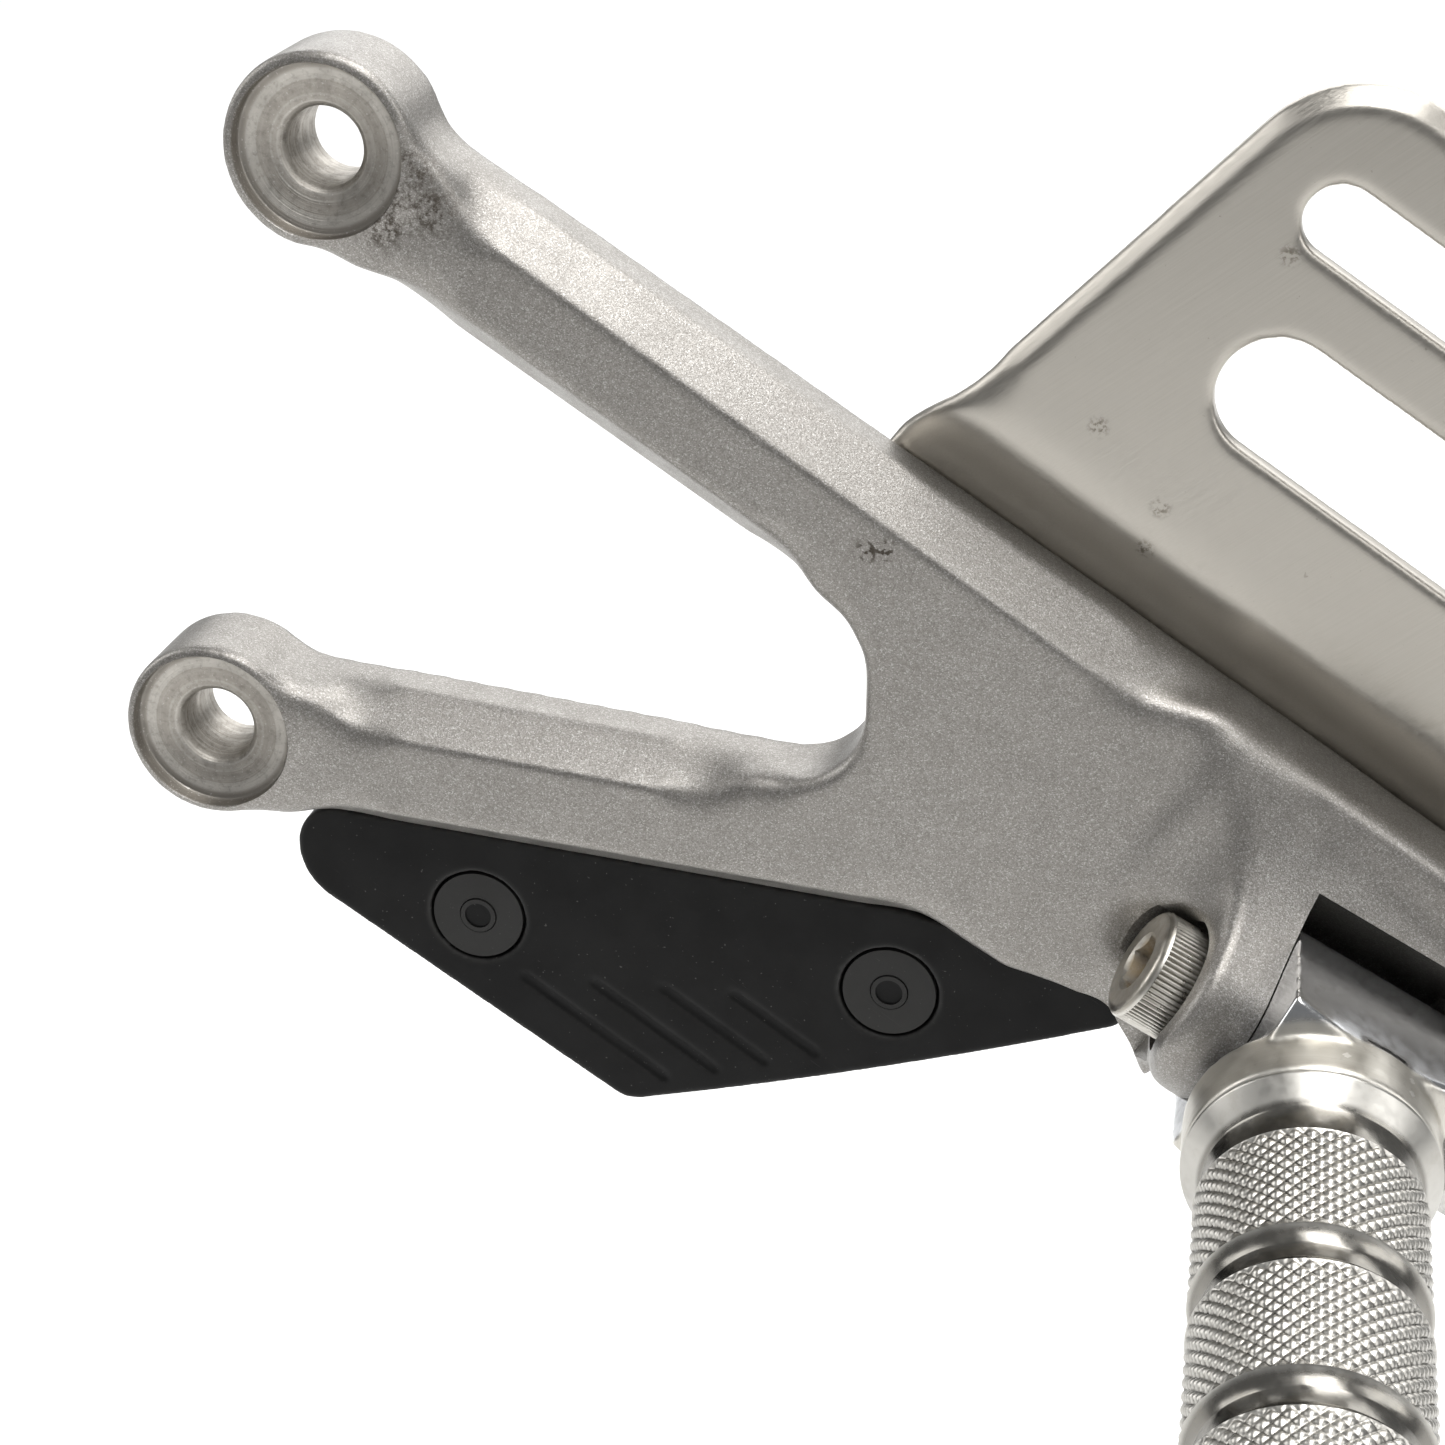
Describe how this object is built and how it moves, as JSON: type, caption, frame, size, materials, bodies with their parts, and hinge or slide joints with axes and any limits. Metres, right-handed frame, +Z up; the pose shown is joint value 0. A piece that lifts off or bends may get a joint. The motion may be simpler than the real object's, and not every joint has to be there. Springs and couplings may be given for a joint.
{
  "type": "folding footrest with frame bracket",
  "caption": "Knurled metal foot peg that folds up in the clevis of a cast Y-shaped frame bracket, with a slotted heel guard and a black lower pad.",
  "frame": {"origin": "on the axis of the upper frame bolt, in the flat back face of the casting that sits against the frame", "axes": "+X to the rear along the bracket, -Y outboard towards the rider's boot and along the upper frame bolt, +Z up"},
  "size_m": [0.1849, 0.1123, 0.1314],
  "materials": {
    "silver_casting": "fine sparkling silver paint over cast metal",
    "brushed_sheet": "brushed along the arm, bright cut edges",
    "screw_steel": "plain zinc plated steel",
    "insert_steel": "plated steel",
    "black_pad": "moulded, faint texture and handling marks",
    "rivet_plastic": "smooth moulded",
    "bolt_steel": "tarnished plating over steel",
    "washer_steel": "plated, lightly marked",
    "bush_steel": "ground",
    "liner_bronze": "oiled bronze",
    "spring_steel": "drawn wire",
    "knuckle_metal": "polished faces, worn edges",
    "sleeve_metal": "machined, knurled bands"
  },
  "bodies": {
    "bracket": {"bracket_casting": "silver_casting", "heel_guard": "brushed_sheet", "guard_screws": "screw_steel", "guard_washers": "washer_steel", "guard_inserts": "insert_steel", "lower_pad": "black_pad", "pad_rivets": "rivet_plastic", "pad_rivet_pins": "rivet_plastic", "pivot_bolt": "bolt_steel", "pivot_washer": "washer_steel", "pivot_bush": "bush_steel", "nut_washer": "washer_steel", "pivot_nut": "bolt_steel", "return_spring": "spring_steel"},
    "peg": {"peg_knuckle": "knuckle_metal", "knuckle_liners": "liner_bronze", "peg_sleeve": "sleeve_metal", "sleeve_dowel": "bush_steel", "peg_end_washer": "washer_steel", "peg_end_bolt": "screw_steel"}
  },
  "joints": [
    {"name": "peg_fold", "type": "hinge", "parent": "bracket", "child": "peg", "pos_m": [0.1142, -0.0157, -0.0972], "axis": [-0.854, -0.1071, 0.5091], "range_deg": [0, 45], "stiffness_Nm_per_rad": 0.3, "springref_deg": -28.65, "deforming": ["return_spring"]}
  ]
}
